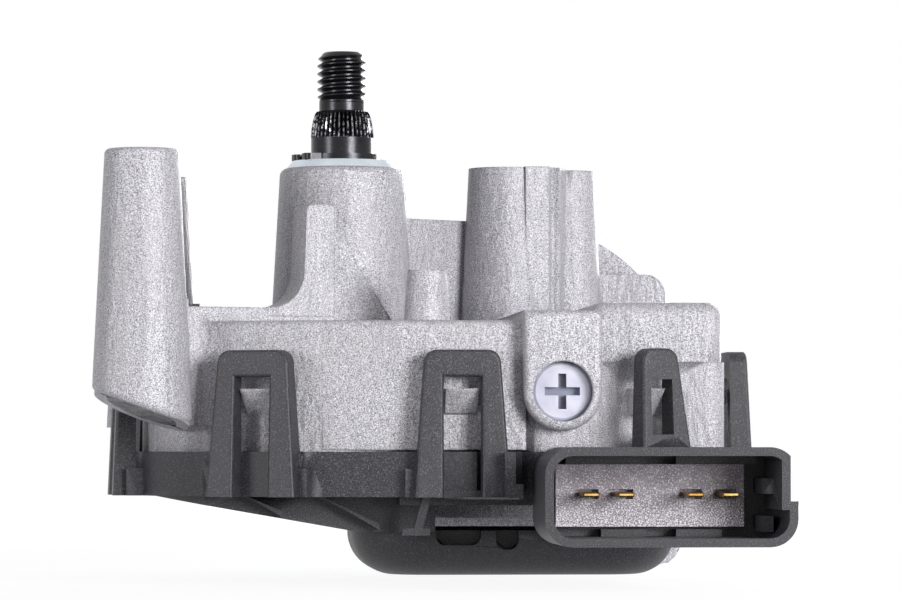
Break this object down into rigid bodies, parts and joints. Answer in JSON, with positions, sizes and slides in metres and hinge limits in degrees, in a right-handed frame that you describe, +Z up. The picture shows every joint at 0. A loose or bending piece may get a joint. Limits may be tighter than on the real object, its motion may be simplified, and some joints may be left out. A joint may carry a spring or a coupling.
{
  "type": "wiper motor",
  "caption": "Windscreen wiper motor: worm gear case with upright threaded output shaft, drilled mounting posts, clipped-on cover with blade connector, and a round motor behind.",
  "frame": {"origin": "on the output shaft's axis at the foot of its thread", "axes": "+Z up the output shaft, +Y back along the worm and the motor, +X towards the motor's side"},
  "size_m": [0.1046, 0.187, 0.0846],
  "materials": {
    "cast_aluminium": "shot-blasted casting",
    "black_plastic": "moulded, glass filled",
    "grey_plastic": "moulded, glass filled, spark eroded grain",
    "dark_rubber": "moulded",
    "black_steel": "black oxide",
    "zinc_steel": "zinc plated",
    "white_nylon": "moulded",
    "bright_steel": "ground",
    "sintered_bronze": "sintered",
    "brass": "stamped",
    "lamination_steel": "stamped laminations",
    "copper": "enamelled winding",
    "ferrite": "pressed ferrite",
    "brush_carbon": "pressed carbon",
    "brown_laminate": "stamped laminate",
    "spring_steel": "rolled"
  },
  "bodies": {
    "housing": {"gear_housing": "cast_aluminium", "gear_cover": "black_plastic", "blade_carrier": "grey_plastic", "cover_gasket": "dark_rubber", "shaft_seal": "dark_rubber", "shaft_washer": "zinc_steel", "motor_can": "zinc_steel", "can_screws": "zinc_steel", "bush_retainer": "zinc_steel", "thrust_plug": "white_nylon", "thrust_pad": "bright_steel", "lower_shaft_bush": "sintered_bronze", "upper_shaft_bush": "sintered_bronze", "worm_bush": "sintered_bronze", "neck_bush": "sintered_bronze", "rear_bush": "sintered_bronze", "terminal_1": "brass", "terminal_2": "brass", "terminal_3": "brass", "terminal_4": "brass", "park_contacts": "brass", "magnet_left": "ferrite", "magnet_right": "ferrite", "brush_common": "brush_carbon", "brush_low_speed": "brush_carbon", "brush_high_speed": "brush_carbon", "brush_plate": "brown_laminate", "contact_carrier": "brown_laminate", "brush_springs": "spring_steel"},
    "output": {"output_shaft": "black_steel", "retaining_ring": "black_steel", "worm_wheel": "white_nylon", "wheel_hub": "bright_steel", "thrust_washer": "bright_steel", "park_disc": "brass"},
    "armature": {"armature_shaft": "bright_steel", "armature_core": "lamination_steel", "armature_windings": "copper", "commutator": "copper"}
  },
  "joints": [
    {"name": "armature_spin", "type": "hinge", "parent": "housing", "child": "armature", "pos_m": [0.032, 0, -0.0457], "axis": [0, 1, 0], "continuous": true},
    {"name": "output_spin", "type": "hinge", "parent": "housing", "child": "output", "pos_m": [0, 0, 0], "axis": [0, 0, 1], "continuous": true}
  ],
  "couplings": [
    {"joint": "output_spin", "follows": "armature_spin", "ratio": -0.018519}
  ]
}
